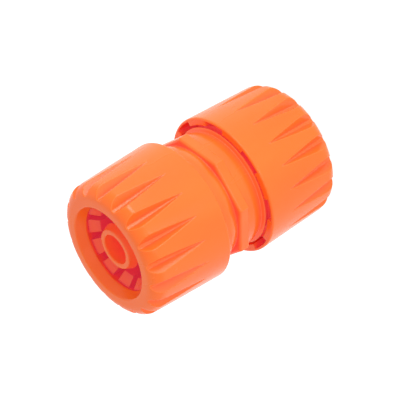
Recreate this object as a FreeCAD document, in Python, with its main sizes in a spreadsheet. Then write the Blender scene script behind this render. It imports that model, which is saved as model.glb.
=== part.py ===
import FreeCAD, Part
import math
import os
import Sketcher

# Straight joiner for two ends of half-inch garden hose, moulded in one plastic.
# A body with a hose tail and a threaded sleeve at each end carries two alike
# clamping nuts, and each nut traps a ring of fingers that it squeezes on the hose.
# Millimetres. The bore runs along +Z and the joiner stands on its lower nut:
# the origin is the middle of that nut's mouth ring.

SIZES = {
    # Where the two nuts sit
    "nut_length": 22.7,
    "nut_gap": 13.3,
    # Hose tail. Each radius that follows is the one inside it plus a step or a wall.
    "bore_radius": 3.84,
    "tail_tip_wall": 1.29,
    "tail_root_wall": 1.51,
    "tail_tip_depth": 2.2,
    "tail_tip_rounding": 0.25,
    "tail_lead": 2.1,
    "barb_height": 0.7,
    "barb_step": 0.25,
    "barb_pitch": 4.0,
    "barb_count": 4,
    # Finger ring, with room for the hose between its bore and the barbs
    "hose_space": 3.39,
    "finger_setback": 0.9,
    "finger_wedge_gap": 0.18,
    "finger_tip_land": 0.1,
    "finger_taper": 0.4,
    "finger_length": 7.0,
    "slot_angle": 10.0,
    "slot_count": 12,
    "slot_floor": 0.4,
    "ring_flange_width": 2.3,
    "ring_flange_length": 2.0,
    "ring_seat_gap": 0.3,
    "ring_rib_gap": 0.25,
    "ring_side_gap": 0.3,
    # Threaded sleeve, neck behind it and nose that the finger ring seats on
    "nose_inset": 0.7,
    "nose_wall": 1.0,
    "sleeve_wall": 2.6,
    "sleeve_floor": 2.0,
    "sleeve_end_gap": 0.3,
    "neck_depth": 0.7,
    "neck_length": 1.6,
    "neck_slope": 0.4,
    # Wrench flange in the middle of a drum that sinks to a groove above the flange
    # and to another one at the lower rim, and rims that reach into the nuts
    "flats_count": 8,
    "flats_step": 0.1,
    "flange_thickness": 2.8,
    "flange_rounding": 0.7,
    "drum_step": 0.2,
    "groove_depth": 0.8,
    "groove_floor": 0.3,
    "groove_slope": 2.1,
    "rim_groove_slope": 2.9,
    "rim_height": 0.45,
    "rim_length": 0.75,
    "rim_slope": 0.3,
    "rim_overlap": 0.35,
    # Mouth and throat of a nut, and the wedge that closes the fingers
    "throat_step": 1.71,
    "throat_depth": 2.6,
    "wedge_angle": 35.0,
    "lip_flare": 1.15,
    "lip_rounding": 0.4,
    # Rib that keeps the finger ring in the nut
    "rib_overlap": 0.3,
    "rib_length": 0.5,
    "rib_slope": 0.2,
    # Ribs of the nut's broken thread
    "land_gap": 1.05,
    "land_cone_length": 1.35,
    "pocket_depth": 1.35,
    "pocket_draft": 0.7,
    "pocket_angle": 21.3,
    "pocket_count": 8,
    # Outside of a nut
    "nut_wall": 0.6,
    "nut_draft": 0.8,
    "nut_mouth_rounding": 3.5,
    "nut_end_rounding": 0.45,
    # Grip flutes
    "flute_count": 18,
    "flute_run_out": 6.3,
    "flute_half_width": 2.2,
    "flute_floor_half_width": 0.4,
    "flute_depth": 2.4,
    "flute_phase": 9.2,
    # How far each piece is turned about the bore in the pictured state
    "body_turn": 1.2,
    "upper_nut_turn": -9.3,
    "lower_nut_turn": 10.8,
    "upper_ring_turn": -9.0,
    "lower_ring_turn": -9.0,
}

SHEET = "Dimensions"

# Places along a flute, from just outside the mouth to its pointed end
FLUTE_STATIONS = (-0.04, 0.3, 0.65, 0.97)
# How much a flute's sides bow outwards from a straight taper
FLUTE_BOW = 0.3
# Height of the flute's cutter above the nut, as a share of the flute's depth
FLUTE_PROUD = 0.4
# How far other cutters reach past the face that they open
CUTTER_REACH = 0.5
# Share of a groove's depth that is reached halfway down its slope
GROOVE_BOW = 0.3


class Size:
    """A number together with the sheet expression that it comes from."""

    def __init__(self, number, text):
        self.number = number
        self.text = text

    def join(self, sign, other, number):
        return Size(number, "({} {} {})".format(self.text, sign, other.text))

    def __add__(self, other):
        other = as_size(other)
        return self.join("+", other, self.number + other.number)

    def __sub__(self, other):
        other = as_size(other)
        return self.join("-", other, self.number - other.number)

    def __mul__(self, other):
        other = as_size(other)
        return self.join("*", other, self.number * other.number)

    def __truediv__(self, other):
        other = as_size(other)
        return self.join("/", other, self.number / other.number)

    def __neg__(self):
        return Size(-self.number, "(0 - {})".format(self.text))


def as_size(value):
    """Let a plain number stand beside sizes."""
    if isinstance(value, Size):
        return value
    return Size(float(value), "({:.9g})".format(value))


def size(name):
    """The driving dimension of that name."""
    return Size(float(SIZES[name]), "{}.{}".format(SHEET, name))


def cosine(angle):
    return Size(math.cos(math.radians(angle.number)), "cos({})".format(angle.text))


def sine(angle):
    return Size(math.sin(math.radians(angle.number)), "sin({})".format(angle.text))


def tangent(angle):
    return Size(math.tan(math.radians(angle.number)), "tan({})".format(angle.text))


def make_sheet(doc):
    """Write the driving dimensions into the spreadsheet."""
    sheet = doc.addObject("Spreadsheet::Sheet", SHEET)
    for row, (name, value) in enumerate(SIZES.items(), start=1):
        sheet.set("A{}".format(row), name)
        sheet.set("B{}".format(row), str(value))
        sheet.setAlias("B{}".format(row), name)
    doc.recompute()


# Helpers for bodies, sketches and features


def new_body(doc, label):
    body = doc.addObject("PartDesign::Body", label)
    body.Label = label
    return body


def origin_feature(body, role):
    return [item for item in body.Origin.OriginFeatures if item.Role == role][0]


def new_sketch(body, name, plane):
    sketch = body.newObject("Sketcher::SketchObject", name)
    sketch.AttachmentSupport = [(origin_feature(body, plane), "")]
    sketch.MapMode = "FlatFace"
    return sketch


def bind(target, path, value):
    target.setExpression(path, value.text)


def pin(sketch, geometry, point, x, y):
    """Hold one point of a sketch at a place given by two sizes."""
    for kind, axis, value in (("DistanceX", -2, x), ("DistanceY", -1, y)):
        if value.number == 0.0:
            sketch.addConstraint(Sketcher.Constraint("PointOnObject", geometry, point, axis))
        else:
            index = sketch.addConstraint(Sketcher.Constraint(kind, geometry, point, value.number))
            bind(sketch, "Constraints[{}]".format(index), value)


def vector(x, y):
    return FreeCAD.Vector(x.number, y.number, 0)


def closed_profile(sketch, corners):
    """Draw a closed outline. A corner (x, y) starts a straight edge, and
    (x, y, via_x, via_y) starts an arc that passes through the second point."""
    corners = [tuple(as_size(value) for value in corner) for corner in corners]
    count = len(corners)
    for index, corner in enumerate(corners):
        start = vector(*corner[:2])
        end = vector(*corners[(index + 1) % count][:2])
        if len(corner) == 2:
            sketch.addGeometry(Part.LineSegment(start, end), False)
        else:
            sketch.addGeometry(Part.Arc(start, vector(*corner[2:]), end), False)
    starts = [edge_start(sketch, index, corner) for index, corner in enumerate(corners)]
    for index, corner in enumerate(corners):
        following = (index + 1) % count
        far_end = 3 - starts[index]
        sketch.addConstraint(
            Sketcher.Constraint("Coincident", index, far_end, following, starts[following])
        )
        pin(sketch, index, starts[index], corner[0], corner[1])
    for index, corner in enumerate(corners):
        if len(corner) == 4:
            via = sketch.addGeometry(Part.Point(vector(*corner[2:])), True)
            pin(sketch, via, 1, corner[2], corner[3])
            sketch.addConstraint(Sketcher.Constraint("PointOnObject", via, 1, index))


def edge_start(sketch, index, corner):
    """Which end of an edge is its first corner: an arc may be stored turned round."""
    at_start = sketch.getPoint(index, 1).isEqual(vector(*corner[:2]), 1e-6)
    return 1 if at_start else 2


def revolve(body, name, sketch, kind="PartDesign::Revolution", angle=None):
    """Turn a profile about the bore: all the way round, or by an angle to both sides."""
    feature = body.newObject(kind, name)
    feature.Profile = sketch
    feature.ReferenceAxis = (sketch, ["V_Axis"])
    if angle is None:
        feature.Angle = 360
    else:
        feature.Midplane = True
        bind(feature, "Angle", angle)
    body.Document.recompute()
    return feature


def repeat_round(body, name, feature, count):
    """Copy a cut evenly round the bore."""
    before = body.Shape.Volume
    pattern = body.newObject("PartDesign::PolarPattern", name)
    pattern.Originals = [feature]
    pattern.Axis = (origin_feature(body, "Z_Axis"), [""])
    pattern.Angle = 360
    bind(pattern, "Occurrences", count)
    body.Tip = pattern
    body.Document.recompute()
    check_removed(name, before, body.Shape.Volume)
    return pattern


def check_removed(name, before, after):
    if after >= before:
        raise RuntimeError("{} removes nothing".format(name))


def circle_edges(shape, places):
    """Names of the full circles about the bore at the given radii and heights."""
    names = []
    for index, edge in enumerate(shape.Edges, start=1):
        curve = edge.Curve
        if not isinstance(curve, Part.Circle) or not edge.isClosed():
            continue
        for radius, height in places:
            same_radius = abs(curve.Radius - radius.number) < 1e-4
            same_height = abs(curve.Center.z - height.number) < 1e-4
            if same_radius and same_height:
                names.append("Edge{}".format(index))
    return names


def fillet(body, name, feature, edges, radius):
    rounding = body.newObject("PartDesign::Fillet", name)
    rounding.Base = (feature, edges)
    bind(rounding, "Radius", radius)
    body.Document.recompute()
    return rounding


# Radii from the bore outwards


def barb_root_radius():
    return size("bore_radius") + size("tail_root_wall")


def barb_radius():
    return barb_root_radius() + size("barb_height")


def tail_tip_radius():
    return size("bore_radius") + size("tail_tip_wall")


def ring_bore_radius():
    return barb_radius() + size("hose_space")


def throat_radius():
    return ring_bore_radius() + size("throat_step")


def lip_radius():
    return throat_radius() + size("lip_flare")


def finger_tip_radius():
    """Just inside the wedge, where the tips rest behind the throat."""
    wedge = throat_radius() + size("finger_setback") * tangent(size("wedge_angle"))
    return wedge - size("finger_wedge_gap")


def finger_root_radius():
    return finger_tip_radius() + size("finger_taper")


def ring_flange_radius():
    return finger_root_radius() + size("ring_flange_width")


def cavity_radius():
    return ring_flange_radius() + size("ring_side_gap")


def nose_radius():
    return ring_flange_radius() - size("nose_inset")


def sleeve_bore_radius():
    return nose_radius() - size("nose_wall")


def sleeve_radius():
    """Outside of the sleeve, at the root of its thread."""
    return sleeve_bore_radius() + size("sleeve_wall")


def neck_radius():
    return sleeve_radius() - size("neck_depth")


def drum_radius():
    return sleeve_radius() + size("drum_step")


def drum_inside_radius():
    """Inner edge of what is added round the body, halfway into the sleeve's wall."""
    return sleeve_bore_radius() + size("sleeve_wall") / 2


def rim_radius():
    return sleeve_radius() + size("rim_height")


def land_radius():
    return sleeve_radius() + size("land_gap")


def pocket_radius():
    """Outer wall of a pocket at the nut's open end."""
    return land_radius() + size("pocket_depth")


def nut_end_radius():
    return pocket_radius() + size("nut_wall")


def nut_mouth_radius():
    return nut_end_radius() - size("nut_draft")


# Places that several pieces share, measured from a nut's mouth or from the middle


def half_length():
    """From the middle of the joiner to a nut's mouth."""
    return size("nut_length") + size("nut_gap") / 2


def finger_tip_depth():
    """From a nut's mouth to the finger tips."""
    return size("throat_depth") + size("finger_setback")


def ring_length():
    return size("ring_flange_length") + size("finger_length")


def ring_seat_height():
    """From the middle of the joiner to the back of a finger ring."""
    return half_length() - finger_tip_depth() - ring_length()


def nose_end():
    return ring_seat_height() - size("ring_seat_gap")


def rib_start():
    """From a nut's mouth to the rib behind the ring's flange."""
    return finger_tip_depth() + ring_length() + size("ring_rib_gap")


def rib_end():
    return rib_start() + size("rib_slope") + size("rib_length")


def lands_start():
    return rib_end() + size("land_cone_length")


def rim_end():
    """From the middle of the joiner to where the rim bead has gone into the nut."""
    return size("nut_gap") / 2 + size("rim_overlap")


def rim_start():
    """From the middle of the joiner to the foot of the rim's slope."""
    return rim_end() - size("rim_length")


def rim_top():
    return rim_start() + size("rim_slope")


# Clamping nut, built with its mouth at height 0 and its open end up


def build_nut(doc, label):
    body = new_body(doc, label)
    shell = nut_shell(body)
    edges = circle_edges(shell.Shape, [(nut_mouth_radius(), as_size(0))])
    mouth = fillet(body, "MouthRounding", shell, edges, size("nut_mouth_rounding"))
    edges = circle_edges(mouth.Shape, [(lip_radius(), as_size(0))])
    lip = fillet(body, "LipRounding", mouth, edges, size("lip_rounding"))
    edges = circle_edges(lip.Shape, [(nut_end_radius(), size("nut_length"))])
    fillet(body, "EndRounding", lip, edges, size("nut_end_rounding"))
    cut_pockets(body)
    cut_flutes(body)
    return body


def nut_shell(body):
    """The nut as a turned ring: wall, lip, throat, wedge, cavity, rib and lands."""
    wedge_length = (cavity_radius() - throat_radius()) / tangent(size("wedge_angle"))
    rib_radius = ring_flange_radius() - size("rib_overlap")
    sketch = new_sketch(body, "WallProfile", "XZ_Plane")
    closed_profile(sketch, [
        (lip_radius(), 0),
        (nut_mouth_radius(), 0),
        (nut_end_radius(), size("nut_length")),
        (land_radius(), size("nut_length")),
        (land_radius(), lands_start()),
        (rib_radius, rib_end()),
        (rib_radius, rib_end() - size("rib_length")),
        (cavity_radius(), rib_start()),
        (cavity_radius(), size("throat_depth") + wedge_length),
        (throat_radius(), size("throat_depth")),
    ])
    return revolve(body, "Wall", sketch)


def cut_pockets(body):
    """Break the land into ribs: the pockets run out through the nut's open end."""
    inside = land_radius() - CUTTER_REACH
    top = size("nut_length") + CUTTER_REACH
    sketch = new_sketch(body, "PocketProfile", "XZ_Plane")
    closed_profile(sketch, [
        (inside, lands_start()),
        (pocket_radius() - size("pocket_draft"), lands_start()),
        (pocket_radius(), top),
        (inside, top),
    ])
    pocket = revolve(body, "Pocket", sketch, "PartDesign::Groove", size("pocket_angle"))
    repeat_round(body, "Pockets", pocket, size("pocket_count"))


def cut_flutes(body):
    """Pointed grip flutes that narrow and run out towards the nut's open end."""
    sections = [flute_section(body, index, place) for index, place in enumerate(FLUTE_STATIONS)]
    body.Document.recompute()
    flute = body.newObject("PartDesign::SubtractiveLoft", "Flute")
    flute.Profile = sections[0]
    flute.Sections = sections[1:]
    flute.Ruled = False
    body.Document.recompute()
    repeat_round(body, "Flutes", flute, size("flute_count"))


def flute_section(body, index, place):
    """One cross-section of a flute: a narrow floor between two flanks.
    Every section has the same shape, smaller and smaller towards the pointed end."""
    height = (size("nut_length") - size("flute_run_out")) * place
    taper = (nut_end_radius() - nut_mouth_radius()) / size("nut_length")
    surface = nut_mouth_radius() + taper * height
    share = (1 - place) * (1 + FLUTE_BOW * place)
    depth = size("flute_depth") * share
    floor = size("flute_floor_half_width") * share
    flank = size("flute_half_width") * share - floor
    top_x = surface + depth * FLUTE_PROUD
    top_y = floor + flank * (1 + FLUTE_PROUD)
    sketch = new_sketch(body, "FluteSection{}".format(index), "XY_Plane")
    turn = FreeCAD.Rotation(FreeCAD.Vector(0, 0, 1), size("flute_phase").number)
    sketch.AttachmentOffset = FreeCAD.Placement(FreeCAD.Vector(0, 0, height.number), turn)
    bind(sketch, "AttachmentOffset.Base.z", height)
    bind(sketch, "AttachmentOffset.Rotation.Angle", size("flute_phase"))
    closed_profile(sketch, [
        (surface - depth, -floor),
        (top_x, -top_y),
        (top_x, top_y),
        (surface - depth, floor),
    ])
    return sketch


# Finger ring, built with its flange at height 0 and its finger tips up


def build_ring(doc, label):
    body = new_body(doc, label)
    flange_top = size("ring_flange_length")
    bevel_top = finger_tip_radius() - size("finger_tip_land")
    bevel = bevel_top - ring_bore_radius()
    sketch = new_sketch(body, "RingProfile", "XZ_Plane")
    closed_profile(sketch, [
        (ring_bore_radius(), 0),
        (ring_flange_radius(), 0),
        (ring_flange_radius(), flange_top),
        (finger_root_radius(), flange_top),
        (finger_tip_radius(), ring_length()),
        (bevel_top, ring_length()),
        (ring_bore_radius(), ring_length() - bevel),
    ])
    revolve(body, "Ring", sketch)
    cut_slots(body)
    return body


def cut_slots(body):
    """Slots that split the ring into fingers, down to just above the flange."""
    inside = ring_bore_radius() - CUTTER_REACH
    floor = size("ring_flange_length") + size("slot_floor")
    top = ring_length() + CUTTER_REACH
    sketch = new_sketch(body, "SlotProfile", "XZ_Plane")
    closed_profile(sketch, [
        (inside, floor),
        (ring_flange_radius(), floor),
        (ring_flange_radius(), top),
        (inside, top),
    ])
    slot = revolve(body, "Slot", sketch, "PartDesign::Groove", size("slot_angle"))
    repeat_round(body, "Slots", slot, size("slot_count"))


# Body, built about its middle: the ends are turned and mirrored, then the drum
# and the wrench flange are added round them


def build_body(doc, label):
    body = new_body(doc, label)
    sketch = new_sketch(body, "EndProfile", "XZ_Plane")
    closed_profile(sketch, sleeve_outline() + tail_outline())
    end = revolve(body, "End", sketch)
    tip_height = half_length() - size("tail_tip_depth")
    tip_edges = [(tail_tip_radius(), tip_height), (size("bore_radius"), tip_height)]
    edges = circle_edges(end.Shape, tip_edges)
    rounding = fillet(body, "TipRounding", end, edges, size("tail_tip_rounding"))
    mirror = body.newObject("PartDesign::Mirrored", "BothEnds")
    mirror.Originals = [end, rounding]
    mirror.MirrorPlane = (origin_feature(body, "XY_Plane"), [""])
    body.Tip = mirror
    doc.recompute()
    sketch = new_sketch(body, "DrumProfile", "XZ_Plane")
    closed_profile(sketch, lower_drum_outline() + upper_drum_outline())
    revolve(body, "Drum", sketch)
    add_flange(body)
    return body


def lower_drum_outline():
    """Lower rim, then the drum that rises from the groove beside it to the flange."""
    groove = drum_radius() - size("groove_depth")
    halfway = rim_start() - size("rim_groove_slope") / 2
    sunk = drum_radius() - size("groove_depth") * GROOVE_BOW
    return [
        (drum_inside_radius(), -rim_end()),
        (rim_radius(), -rim_end()),
        (rim_radius(), -rim_top()),
        (groove, -rim_start(), sunk, -halfway),
        (drum_radius(), -(rim_start() - size("rim_groove_slope"))),
        (drum_radius(), 0),
    ]


def upper_drum_outline():
    """The groove beside the flange, then the drum up to the upper rim."""
    groove = drum_radius() - size("groove_depth")
    groove_end = size("flange_thickness") / 2 + size("groove_floor")
    halfway = groove_end + size("groove_slope") / 2
    sunk = drum_radius() - size("groove_depth") * GROOVE_BOW
    return [
        (groove, 0),
        (groove, groove_end, sunk, halfway),
        (drum_radius(), groove_end + size("groove_slope")),
        (drum_radius(), rim_start()),
        (rim_radius(), rim_top()),
        (rim_radius(), rim_end()),
        (drum_inside_radius(), rim_end()),
    ]


def sleeve_outline():
    """Neck under the drum, sleeve, nose for the finger ring, and the hose socket."""
    neck_end = rim_end() + size("neck_length")
    sleeve_end = half_length() - lands_start() - size("sleeve_end_gap")
    return [
        (size("bore_radius"), 0),
        (neck_radius(), 0),
        (neck_radius(), neck_end),
        (sleeve_radius(), neck_end + size("neck_slope")),
        (sleeve_radius(), sleeve_end),
        (nose_radius(), sleeve_end),
        (nose_radius(), nose_end()),
        (sleeve_bore_radius(), nose_end()),
        (sleeve_bore_radius(), size("sleeve_floor")),
    ]


def tail_outline():
    """Hose tail from the socket's floor to its tip, with saw-tooth barbs."""
    tip_height = half_length() - size("tail_tip_depth")
    outline = [(barb_root_radius(), size("sleeve_floor"))]
    count = SIZES["barb_count"]
    for index in range(count):
        behind = size("barb_pitch") * (count - 1 - index)
        crest = tip_height - size("tail_lead") - behind
        outline.append((barb_root_radius(), crest - size("barb_step")))
        outline.append((barb_radius(), crest))
    outline.append((tail_tip_radius(), tip_height))
    outline.append((size("bore_radius"), tip_height))
    return outline


def add_flange(body):
    """Octagon wrench flange across the middle, with its upper edges eased."""
    half_flat = as_size(180) / size("flats_count")
    corner = (drum_radius() + size("flats_step")) / cosine(half_flat)
    sketch = new_sketch(body, "FlangeProfile", "XY_Plane")
    outline = []
    for step in range(SIZES["flats_count"]):
        angle = half_flat * (2 * step + 1)
        outline.append((corner * cosine(angle), corner * sine(angle)))
    closed_profile(sketch, outline)
    add_circle(sketch, drum_inside_radius())
    pad = body.newObject("PartDesign::Pad", "Flange")
    pad.Profile = sketch
    pad.Midplane = True
    bind(pad, "Length", size("flange_thickness"))
    body.Document.recompute()
    edges = straight_edges(pad.Shape, size("flange_thickness") / 2)
    fillet(body, "FlangeRounding", pad, edges, size("flange_rounding"))


def add_circle(sketch, radius):
    """Hole in a flange's profile, inside the drum that the flange stands on."""
    circle = Part.Circle(FreeCAD.Vector(0, 0, 0), FreeCAD.Vector(0, 0, 1), radius.number)
    geometry = sketch.addGeometry(circle, False)
    sketch.addConstraint(Sketcher.Constraint("Coincident", geometry, 3, -1, 1))
    index = sketch.addConstraint(Sketcher.Constraint("Radius", geometry, radius.number))
    bind(sketch, "Constraints[{}]".format(index), radius)


def straight_edges(shape, height):
    """Names of the straight edges at a height."""
    names = []
    for index, edge in enumerate(shape.Edges, start=1):
        if not isinstance(edge.Curve, Part.Line):
            continue
        if all(abs(vertex.Z - height.number) < 1e-4 for vertex in edge.Vertexes):
            names.append("Edge{}".format(index))
    return names


def place(body, height, turn, flip):
    """Set a piece on the bore's axis, upside down where it belongs to the lower end."""
    about_bore = FreeCAD.Rotation(FreeCAD.Vector(0, 0, 1), turn.number)
    over = FreeCAD.Rotation(FreeCAD.Vector(1, 0, 0), 180 if flip else 0)
    body.Placement = FreeCAD.Placement(
        FreeCAD.Vector(0, 0, height.number), about_bore.multiply(over)
    )
    bind(body, "Placement.Base.z", height)


def check_document(doc):
    for item in doc.Objects:
        if "Invalid" in item.State or "Error" in item.State:
            raise RuntimeError("{} has state {}".format(item.Name, item.State))


def main():
    doc = FreeCAD.newDocument("HoseJoiner")
    make_sheet(doc)
    middle = half_length()
    body = build_body(doc, "joiner_body")
    place(body, middle, size("body_turn"), False)
    upper_nut = build_nut(doc, "upper_nut")
    place(upper_nut, middle * 2, size("upper_nut_turn"), True)
    lower_nut = build_nut(doc, "lower_nut")
    place(lower_nut, as_size(0), size("lower_nut_turn"), False)
    upper_ring = build_ring(doc, "upper_finger_ring")
    place(upper_ring, middle + ring_seat_height(), size("upper_ring_turn"), False)
    lower_ring = build_ring(doc, "lower_finger_ring")
    place(lower_ring, middle - ring_seat_height(), size("lower_ring_turn"), True)
    doc.recompute()
    check_document(doc)
    pieces = [body, upper_nut, lower_nut, upper_ring, lower_ring]
    for piece in pieces:
        if piece.Shape.isNull() or not piece.Shape.isValid():
            raise RuntimeError("{} has no valid shape".format(piece.Label))
    os.makedirs("parts", exist_ok=True)
    for piece in pieces:
        piece.Shape.exportStep("parts/{}.step".format(piece.Label))
        print(piece.Label, len(piece.Shape.Solids), round(piece.Shape.Volume, 1), piece.Shape.BoundBox)


main()
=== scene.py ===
import math

import bpy
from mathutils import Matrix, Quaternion, Vector


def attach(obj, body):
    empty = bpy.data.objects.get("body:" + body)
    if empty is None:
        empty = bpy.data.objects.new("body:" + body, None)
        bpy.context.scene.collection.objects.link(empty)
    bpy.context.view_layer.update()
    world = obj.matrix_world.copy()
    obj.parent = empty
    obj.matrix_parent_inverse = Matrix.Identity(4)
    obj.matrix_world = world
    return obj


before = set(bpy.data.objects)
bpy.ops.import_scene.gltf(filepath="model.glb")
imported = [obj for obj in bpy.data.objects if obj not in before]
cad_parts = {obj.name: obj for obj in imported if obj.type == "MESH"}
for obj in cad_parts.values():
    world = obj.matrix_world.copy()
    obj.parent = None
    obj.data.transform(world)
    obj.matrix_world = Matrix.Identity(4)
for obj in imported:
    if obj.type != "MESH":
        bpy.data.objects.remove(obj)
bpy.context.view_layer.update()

# Metres, in the frame's own axes: the joiner stands on its lower nut, with its bore along Z

# Camera, found from the circles of the two nuts
CAMERA_PLACE = Vector((-0.2769, -0.3431, 0.2748))
CAMERA_AIM = Vector((0.5486, 0.6807, -0.4855))
CAMERA_ROLL = math.radians(-121.04)
CAMERA_LENS_MM = 187.9
CAMERA_SENSOR_MM = 36.0
CAMERA_CLIP_START = 0.01

# Softboxes: name, side in the camera's own axes (right, up, behind it), distance, size, watts
SOFTBOXES = (
    ("overhead_softbox", Vector((0.05, 0.80, 0.60)), 0.24, 0.070, 0.110),
    ("middle_lamp", Vector((0.33, 0.60, 0.73)), 0.22, 0.030, 0.030),
    ("high_lamp", Vector((-0.05, 0.92, 0.38)), 0.17, 0.025, 0.016),
    ("low_lamp", Vector((0.66, 0.22, 0.72)), 0.15, 0.020, 0.010),
    ("front_softbox", Vector((0.50, -0.05, 0.86)), 0.70, 0.40, 0.6),
)
SOFTBOX_AIM = Vector((0.0, 0.0, 0.050))
DOME_STRENGTH = 0.87

# White floor, clear of the lower nut, which comes down 5.25 mm as it is unscrewed
FLOOR_HEIGHT = -0.006
FLOOR_SIZE = 4.0
FLOOR_COLOUR = (0.25, 0.25, 0.25)
FLOOR_ROUGHNESS = 0.9
FLOOR_GLOW = 0.95

# Threads, right-hand. Angles run on past full turns, because the helix starts at height 0
THREAD_LEAD = 0.0035
THREAD_BASE = 0.0017
THREAD_CREST = 0.0007
THREAD_SMOOTH_ANGLE = math.radians(30.0)

# Ridges on the sleeves: foot and crest radius, start, length and fade at each end
BODY_THREAD_RADII = (0.01510, 0.01605)
BODY_THREAD_START = math.radians(1573.7)
BODY_THREAD_RUN = math.radians(500.0)
BODY_THREADS_APART = math.radians(2391.4)
BODY_FULL_STATIONS = 70
BODY_FADE_STATIONS = 11
BODY_FADE_START = 0.15

# Ridges on the lands of the nuts: foot and crest radius, middle of the first one, size along it
NUT_THREAD_RADII = (0.01630, 0.01540)
LOWER_LAND = math.radians(1473.3)
UPPER_LAND = math.radians(3703.2)
LAND_SPACING = math.radians(45.0)
LAND_RIDGES = 12
LAND_RIDGE_ARC = math.radians(20.0)
LAND_RIDGE_SHARES = (0.15, 0.6, 0.9, 1.0, 1.0, 1.0, 0.9, 0.6, 0.15)

# Colours of the plastic, linear
FRESH_ORANGE = (0.985, 0.142, 0.012)
FADED_ORANGE = (0.985, 0.180, 0.018)
# Paler edges: wear, and a painted highlight along them
EDGE_WEAR_AND_HIGHLIGHT_ORANGE = (0.990, 0.250, 0.045)
# Painted shade: a darker crimson laid into the deep hollows
PAINTED_SHADE_CRIMSON = (0.700, 0.022, 0.050)
NO_GLOW = (0.0, 0.0, 0.0)
# Painted glow: a weak crimson emission on the shaded sides, standing in for light scattered
# through the plastic
PAINTED_GLOW = (0.170, 0.014, 0.030)

# Drift of the colour, in streaks along the bore
STREAK_SCALE = 70.0
STREAK_STRETCH = (1.0, 1.0, 0.35)
STREAK_DETAIL = 4.0
STREAK_RANGE = (0.3, 0.7)
FADED_SHARE = 0.70

# Grain of the mould, and what the drift adds to the roughness
GRAIN_SCALE = 2600.0
GRAIN_DETAIL = 3.0
GRAIN_STRENGTH = 0.05
GRAIN_DEPTH = 0.0001
ROUGHNESS_DRIFT = (-0.04, 0.06)
PLASTIC_IOR = 1.45
PLASTIC_SPECULAR = 0.42

# Edges: cosine between the eased and the true normal, from flat to sharp
EDGE_RANGE = (0.995, 0.90)
# Share of the paler edge colour, which is wear and a painted highlight
EDGE_WEAR_AND_HIGHLIGHT_SHARE = 0.50
EDGE_SAMPLES = 8

# Painted shade in the hollows: whether only the piece's own shape counts, and the openness from
# pale to the crimson painted shade
PAINTED_SHADE_SETTINGS = {
    "own_hollow": (True, (0.52, 0.10)),
    "any_hollow": (False, (0.52, 0.10)),
    "ring_hollow": (False, (0.80, 0.25)),
}
# Openness over which the painted glow comes in on the shaded sides
SHADED_RANGE = (0.90, 0.30)
PAINTED_SHADE_SAMPLES = 8

# Plastics: pieces, painted shade masks, roughness, edge radius, reach of the painted shade,
# share of crimson painted shade
PLASTICS = {
    "upper_nut_plastic": (("upper_nut",), "any_hollow", 0.24, 0.0004, 0.006, 0.8),
    "lower_nut_plastic": (("lower_nut",), "own_hollow", 0.24, 0.0004, 0.006, 0.8),
    "body_plastic": (("joiner_body",), "any_hollow", 0.25, 0.0004, 0.0075, 0.10),
    "ring_plastic": (
        ("upper_finger_ring", "lower_finger_ring"), "ring_hollow", 0.30, 0.0003, 0.018, 0.9,
    ),
}


def shader_group(name, inputs, outputs):
    """A node group with its sockets, and its input and output nodes."""
    group = bpy.data.node_groups.new(name, "ShaderNodeTree")
    for label in inputs:
        group.interface.new_socket(label, in_out="INPUT", socket_type="NodeSocketFloat")
    for label, kind in outputs.items():
        group.interface.new_socket(label, in_out="OUTPUT", socket_type=kind)
    entry = group.nodes.new("NodeGroupInput")
    result = group.nodes.new("NodeGroupOutput")
    return group, entry, result


def place_group(tree, group, values):
    """Put a group into a material, with the values of its inputs."""
    node = tree.nodes.new("ShaderNodeGroup")
    node.node_tree = group
    for label, value in values.items():
        node.inputs[label].default_value = value
    return node


def stretch(tree, value, old_range, new_range=(0.0, 1.0)):
    """Map a range of a value onto another one, clamped."""
    node = tree.nodes.new("ShaderNodeMapRange")
    node.clamp = True
    tree.links.new(value, node.inputs["Value"])
    node.inputs["From Min"].default_value, node.inputs["From Max"].default_value = old_range
    node.inputs["To Min"].default_value, node.inputs["To Max"].default_value = new_range
    return node.outputs["Result"]


def blend(tree, share, first, second):
    """Mix two colours, each a socket or a linear colour."""
    node = tree.nodes.new("ShaderNodeMix")
    node.data_type = "RGBA"
    tree.links.new(share, node.inputs["Factor"])
    for socket, colour in ((node.inputs[6], first), (node.inputs[7], second)):
        if isinstance(colour, tuple):
            socket.default_value = (*colour, 1.0)
        else:
            tree.links.new(colour, socket)
    return node.outputs[2]


def weaken(tree, mask, share):
    """A mask times a plain number."""
    node = tree.nodes.new("ShaderNodeMath")
    node.operation = "MULTIPLY"
    tree.links.new(mask, node.inputs[0])
    node.inputs[1].default_value = share
    return node.outputs[0]


def flow_group():
    """Slow drift of the colour from the melt's flow, and the fine grain of the mould."""
    group, entry, result = shader_group(
        "melt_flow",
        ("Streak Scale", "Grain Scale"),
        {"Drift": "NodeSocketFloat", "Grain": "NodeSocketFloat"},
    )
    place = group.nodes.new("ShaderNodeTexCoord").outputs["Object"]
    along = group.nodes.new("ShaderNodeMapping")
    along.inputs["Scale"].default_value = STREAK_STRETCH
    group.links.new(place, along.inputs["Vector"])
    drift = group.nodes.new("ShaderNodeTexNoise")
    drift.inputs["Detail"].default_value = STREAK_DETAIL
    group.links.new(along.outputs["Vector"], drift.inputs["Vector"])
    group.links.new(entry.outputs["Streak Scale"], drift.inputs["Scale"])
    grain = group.nodes.new("ShaderNodeTexNoise")
    grain.inputs["Detail"].default_value = GRAIN_DETAIL
    group.links.new(place, grain.inputs["Vector"])
    group.links.new(entry.outputs["Grain Scale"], grain.inputs["Scale"])
    streaks = stretch(group, drift.outputs["Fac"], STREAK_RANGE)
    group.links.new(streaks, result.inputs["Drift"])
    group.links.new(grain.outputs["Fac"], result.inputs["Grain"])
    return group


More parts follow.
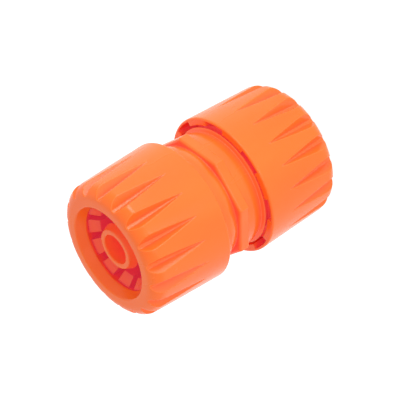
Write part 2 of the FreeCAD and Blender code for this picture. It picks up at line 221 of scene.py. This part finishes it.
def edge_group():
    """Softened normals at the edges, and a mask of where the edges are."""
    group, entry, result = shader_group(
        "eased_edge",
        ("Edge Radius",),
        {"Normal": "NodeSocketVector", "Edge": "NodeSocketFloat"},
    )
    eased = group.nodes.new("ShaderNodeBevel")
    eased.samples = EDGE_SAMPLES
    group.links.new(entry.outputs["Edge Radius"], eased.inputs["Radius"])
    true_normal = group.nodes.new("ShaderNodeNewGeometry").outputs["Normal"]
    across = group.nodes.new("ShaderNodeVectorMath")
    across.operation = "DOT_PRODUCT"
    group.links.new(eased.outputs["Normal"], across.inputs[0])
    group.links.new(true_normal, across.inputs[1])
    group.links.new(eased.outputs["Normal"], result.inputs["Normal"])
    mask = stretch(group, across.outputs["Value"], EDGE_RANGE)
    group.links.new(mask, result.inputs["Edge"])
    return group


def painted_shade_group(name, own_shape_only, painted_shade_range):
    """Masks of the hollows for a crimson painted shade, and of the shaded sides for a painted
    glow that stands in for light scattered through the plastic.
    """
    group, entry, result = shader_group(
        name, ("Reach",), {"Hollow": "NodeSocketFloat", "Shaded": "NodeSocketFloat"}
    )
    shade = group.nodes.new("ShaderNodeAmbientOcclusion")
    shade.samples = PAINTED_SHADE_SAMPLES
    shade.only_local = own_shape_only
    group.links.new(entry.outputs["Reach"], shade.inputs["Distance"])
    openness = shade.outputs["AO"]
    group.links.new(stretch(group, openness, painted_shade_range), result.inputs["Hollow"])
    group.links.new(stretch(group, openness, SHADED_RANGE), result.inputs["Shaded"])
    return group


def moulded_plastic(name, groups, roughness, easing, reach, painted_shade_share):
    """Dyed plastic: drift of the colour, paler edges with wear and a painted highlight, crimson
    painted shade in the hollows, a painted glow on the shaded sides, and a fine grain.
    """
    flow, edge, painted_shade_masks = groups
    material = bpy.data.materials.new(name)
    material.use_nodes = True
    tree = material.node_tree
    shader = tree.nodes["Principled BSDF"]
    skin = place_group(tree, flow, {"Streak Scale": STREAK_SCALE, "Grain Scale": GRAIN_SCALE})
    edges = place_group(tree, edge, {"Edge Radius": easing})
    painted_light_masks = place_group(tree, painted_shade_masks, {"Reach": reach})

    faded = weaken(tree, skin.outputs["Drift"], FADED_SHARE)
    colour = blend(tree, faded, FRESH_ORANGE, FADED_ORANGE)
    # Paler edges: wear, and a painted highlight along them
    edge_wear_and_highlight = weaken(tree, edges.outputs["Edge"], EDGE_WEAR_AND_HIGHLIGHT_SHARE)
    colour = blend(tree, edge_wear_and_highlight, colour, EDGE_WEAR_AND_HIGHLIGHT_ORANGE)
    # Painted shade: crimson where the hollows are deep
    painted_shade = weaken(tree, painted_light_masks.outputs["Hollow"], painted_shade_share)
    colour = blend(tree, painted_shade, colour, PAINTED_SHADE_CRIMSON)
    tree.links.new(colour, shader.inputs["Base Color"])

    # Painted glow on the shaded sides, standing in for light scattered through the plastic
    painted_glow = blend(tree, painted_light_masks.outputs["Shaded"], NO_GLOW, PAINTED_GLOW)
    tree.links.new(painted_glow, shader.inputs["Emission Color"])
    shader.inputs["Emission Strength"].default_value = 1.0

    smooth, coarse = (roughness + drift for drift in ROUGHNESS_DRIFT)
    rough = stretch(tree, skin.outputs["Drift"], (0.0, 1.0), (smooth, coarse))
    tree.links.new(rough, shader.inputs["Roughness"])
    bump = tree.nodes.new("ShaderNodeBump")
    bump.inputs["Strength"].default_value = GRAIN_STRENGTH
    bump.inputs["Distance"].default_value = GRAIN_DEPTH
    tree.links.new(skin.outputs["Grain"], bump.inputs["Height"])
    tree.links.new(edges.outputs["Normal"], bump.inputs["Normal"])
    tree.links.new(bump.outputs["Normal"], shader.inputs["Normal"])
    shader.inputs["IOR"].default_value = PLASTIC_IOR
    shader.inputs["Specular IOR Level"].default_value = PLASTIC_SPECULAR
    return material


def paint_pieces():
    """Make the plastics, and give each CAD piece its own one."""
    flow = flow_group()
    edge = edge_group()
    painted_shade_groups = {name: painted_shade_group(name, *values) for name, values in PAINTED_SHADE_SETTINGS.items()}
    plastics = {}
    for name, (nodes, painted_shade_masks, *values) in PLASTICS.items():
        plastics[name] = moulded_plastic(name, (flow, edge, painted_shade_groups[painted_shade_masks]), *values)
        for node in nodes:
            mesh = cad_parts[node].data
            mesh.materials.clear()
            mesh.materials.append(plastics[name])
    return plastics


def helix_height(angle):
    """Height of the helix after an angle, both from its start at 0."""
    return THREAD_LEAD * angle / (2.0 * math.pi)


def climb(angle):
    """Turn and raise what is selected along the right-hand helix."""
    bpy.ops.transform.rotate(value=-angle, orient_axis="Z", center_override=(0.0, 0.0, 0.0))
    bpy.ops.transform.translate(value=(0.0, 0.0, helix_height(angle)))


def thread_section(name, foot, crest):
    """A trapezoid in the XZ plane, wide at its foot and narrow at its crest, in edit mode."""
    bpy.ops.object.select_all(action="DESELECT")
    bpy.ops.mesh.primitive_plane_add(
        size=1.0, location=((foot + crest) / 2.0, 0.0, 0.0), rotation=(math.pi / 2.0, 0.0, 0.0)
    )
    ridge = bpy.context.object
    ridge.name = name
    ridge.scale = (abs(crest - foot), THREAD_BASE, 1.0)
    bpy.ops.object.transform_apply(location=True, rotation=True, scale=True)
    mesh = ridge.data
    for part in (*mesh.edges, *mesh.polygons):
        part.select = False
    for point in mesh.vertices:
        point.select = abs(point.co.x - crest) < abs(point.co.x - foot)
    bpy.ops.object.mode_set(mode="EDIT")
    bpy.ops.mesh.select_mode(type="VERT")
    bpy.ops.transform.resize(
        value=(1.0, 1.0, THREAD_CREST / THREAD_BASE), center_override=(crest, 0.0, 0.0)
    )
    bpy.ops.mesh.select_all(action="SELECT")
    return ridge


def thread_ridge(name, radii, first, shares, step):
    """Sweep the section up the helix; each share is the ridge's size at that station."""
    foot, crest = radii
    ridge = thread_section(name, foot, crest)
    bpy.ops.transform.resize(value=(shares[0],) * 3, center_override=(foot, 0.0, 0.0))
    climb(first)
    bpy.ops.mesh.select_mode(type="FACE")
    for station, (before, after) in enumerate(zip(shares, shares[1:]), start=1):
        bpy.ops.mesh.extrude_region_move()
        climb(step)
        angle = first + station * step
        root = (foot * math.cos(angle), foot * math.sin(angle), helix_height(angle))
        bpy.ops.transform.resize(value=(after / before,) * 3, center_override=root)
    bpy.ops.mesh.select_all(action="SELECT")
    return ridge


def copy_up_helix(ridge, name, angle):
    """A copy with its own mesh, further up the same helix, in edit mode."""
    bpy.ops.object.select_all(action="DESELECT")
    ridge.select_set(True)
    bpy.context.view_layer.objects.active = ridge
    bpy.ops.object.duplicate(linked=False)
    copy = bpy.context.object
    copy.name = name
    bpy.ops.object.mode_set(mode="EDIT")
    bpy.ops.mesh.select_all(action="SELECT")
    climb(angle)
    return copy


def finish_thread(ridge, body, material):
    """Turn the faces outwards, leave edit mode, and let the ridge ride on its body."""
    bpy.ops.mesh.select_all(action="SELECT")
    bpy.ops.mesh.normals_make_consistent(inside=False)
    bpy.ops.object.mode_set(mode="OBJECT")
    bpy.ops.object.shade_smooth_by_angle(angle=THREAD_SMOOTH_ANGLE)
    ridge.data.materials.clear()
    ridge.data.materials.append(material)
    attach(ridge, body)


def make_body_threads(material):
    """A ridge round the sleeve at each end, fading in and out."""
    fade = tuple(
        BODY_FADE_START + (1.0 - BODY_FADE_START) * station / BODY_FADE_STATIONS
        for station in range(BODY_FADE_STATIONS)
    )
    shares = fade + (1.0,) * BODY_FULL_STATIONS + fade[::-1]
    step = BODY_THREAD_RUN / (len(shares) - 1)
    lower = thread_ridge("lower_body_thread", BODY_THREAD_RADII, BODY_THREAD_START, shares, step)
    finish_thread(lower, "body", material)
    upper = copy_up_helix(lower, "upper_body_thread", BODY_THREADS_APART)
    finish_thread(upper, "body", material)


def make_nut_threads(lower_material, upper_material):
    """Short ridges on the lands inside the nuts, half a pitch off the body's."""
    first = LOWER_LAND - LAND_RIDGE_ARC / 2.0
    step = LAND_RIDGE_ARC / (len(LAND_RIDGE_SHARES) - 1)
    lower = thread_ridge("lower_nut_thread", NUT_THREAD_RADII, first, LAND_RIDGE_SHARES, step)
    bpy.ops.transform.translate(value=(0.0, 0.0, THREAD_LEAD / 2.0))
    for _ in range(LAND_RIDGES - 1):
        bpy.ops.mesh.duplicate()
        climb(LAND_SPACING)
    finish_thread(lower, "lower_nut", lower_material)
    upper = copy_up_helix(lower, "upper_nut_thread", UPPER_LAND - LOWER_LAND)
    finish_thread(upper, "upper_nut", upper_material)


def camera_turn():
    """The camera's rotation, from its aim and its roll."""
    level = CAMERA_AIM.to_track_quat("-Z", "Y")
    return level @ Quaternion((0.0, 0.0, 1.0), CAMERA_ROLL)


def make_camera():
    """The photo's camera."""
    data = bpy.data.cameras.new("photo_camera")
    data.lens = CAMERA_LENS_MM
    data.sensor_width = CAMERA_SENSOR_MM
    data.clip_start = CAMERA_CLIP_START
    camera = bpy.data.objects.new("photo_camera", data)
    bpy.context.scene.collection.objects.link(camera)
    camera.rotation_mode = "QUATERNION"
    camera.rotation_quaternion = camera_turn()
    camera.location = CAMERA_PLACE
    bpy.context.scene.camera = camera


def make_floor():
    """A floor that is as white as the dome."""
    bpy.ops.object.select_all(action="DESELECT")
    bpy.ops.mesh.primitive_plane_add(size=FLOOR_SIZE, location=(0.0, 0.0, FLOOR_HEIGHT))
    floor = bpy.context.object
    floor.name = "studio_floor"
    material = bpy.data.materials.new("white_floor")
    material.use_nodes = True
    shader = material.node_tree.nodes["Principled BSDF"]
    shader.inputs["Base Color"].default_value = (*FLOOR_COLOUR, 1.0)
    shader.inputs["Roughness"].default_value = FLOOR_ROUGHNESS
    shader.inputs["Emission Color"].default_value = (1.0, 1.0, 1.0, 1.0)
    shader.inputs["Emission Strength"].default_value = FLOOR_GLOW
    floor.data.materials.append(material)


def add_softbox(name, side, distance, size, watts):
    """A square light beside the camera's line of sight, turned to the near nut."""
    data = bpy.data.lights.new(name, "AREA")
    data.shape = "SQUARE"
    data.size = size
    data.energy = watts
    softbox = bpy.data.objects.new(name, data)
    bpy.context.scene.collection.objects.link(softbox)
    direction = (camera_turn() @ side).normalized()
    softbox.location = SOFTBOX_AIM + direction * distance
    softbox.rotation_mode = "QUATERNION"
    softbox.rotation_quaternion = (-direction).to_track_quat("-Z", "Y")


def make_light():
    """A white dome and the softboxes round the camera."""
    world = bpy.data.worlds.new("studio_dome")
    bpy.context.scene.world = world
    world.use_nodes = True
    background = world.node_tree.nodes["Background"]
    background.inputs["Color"].default_value = (1.0, 1.0, 1.0, 1.0)
    background.inputs["Strength"].default_value = DOME_STRENGTH
    for softbox in SOFTBOXES:
        add_softbox(*softbox)


plastics = paint_pieces()
make_body_threads(plastics["body_plastic"])
make_nut_threads(plastics["lower_nut_plastic"], plastics["upper_nut_plastic"])
make_floor()
make_light()
make_camera()
bpy.context.scene.view_settings.view_transform = "Standard"
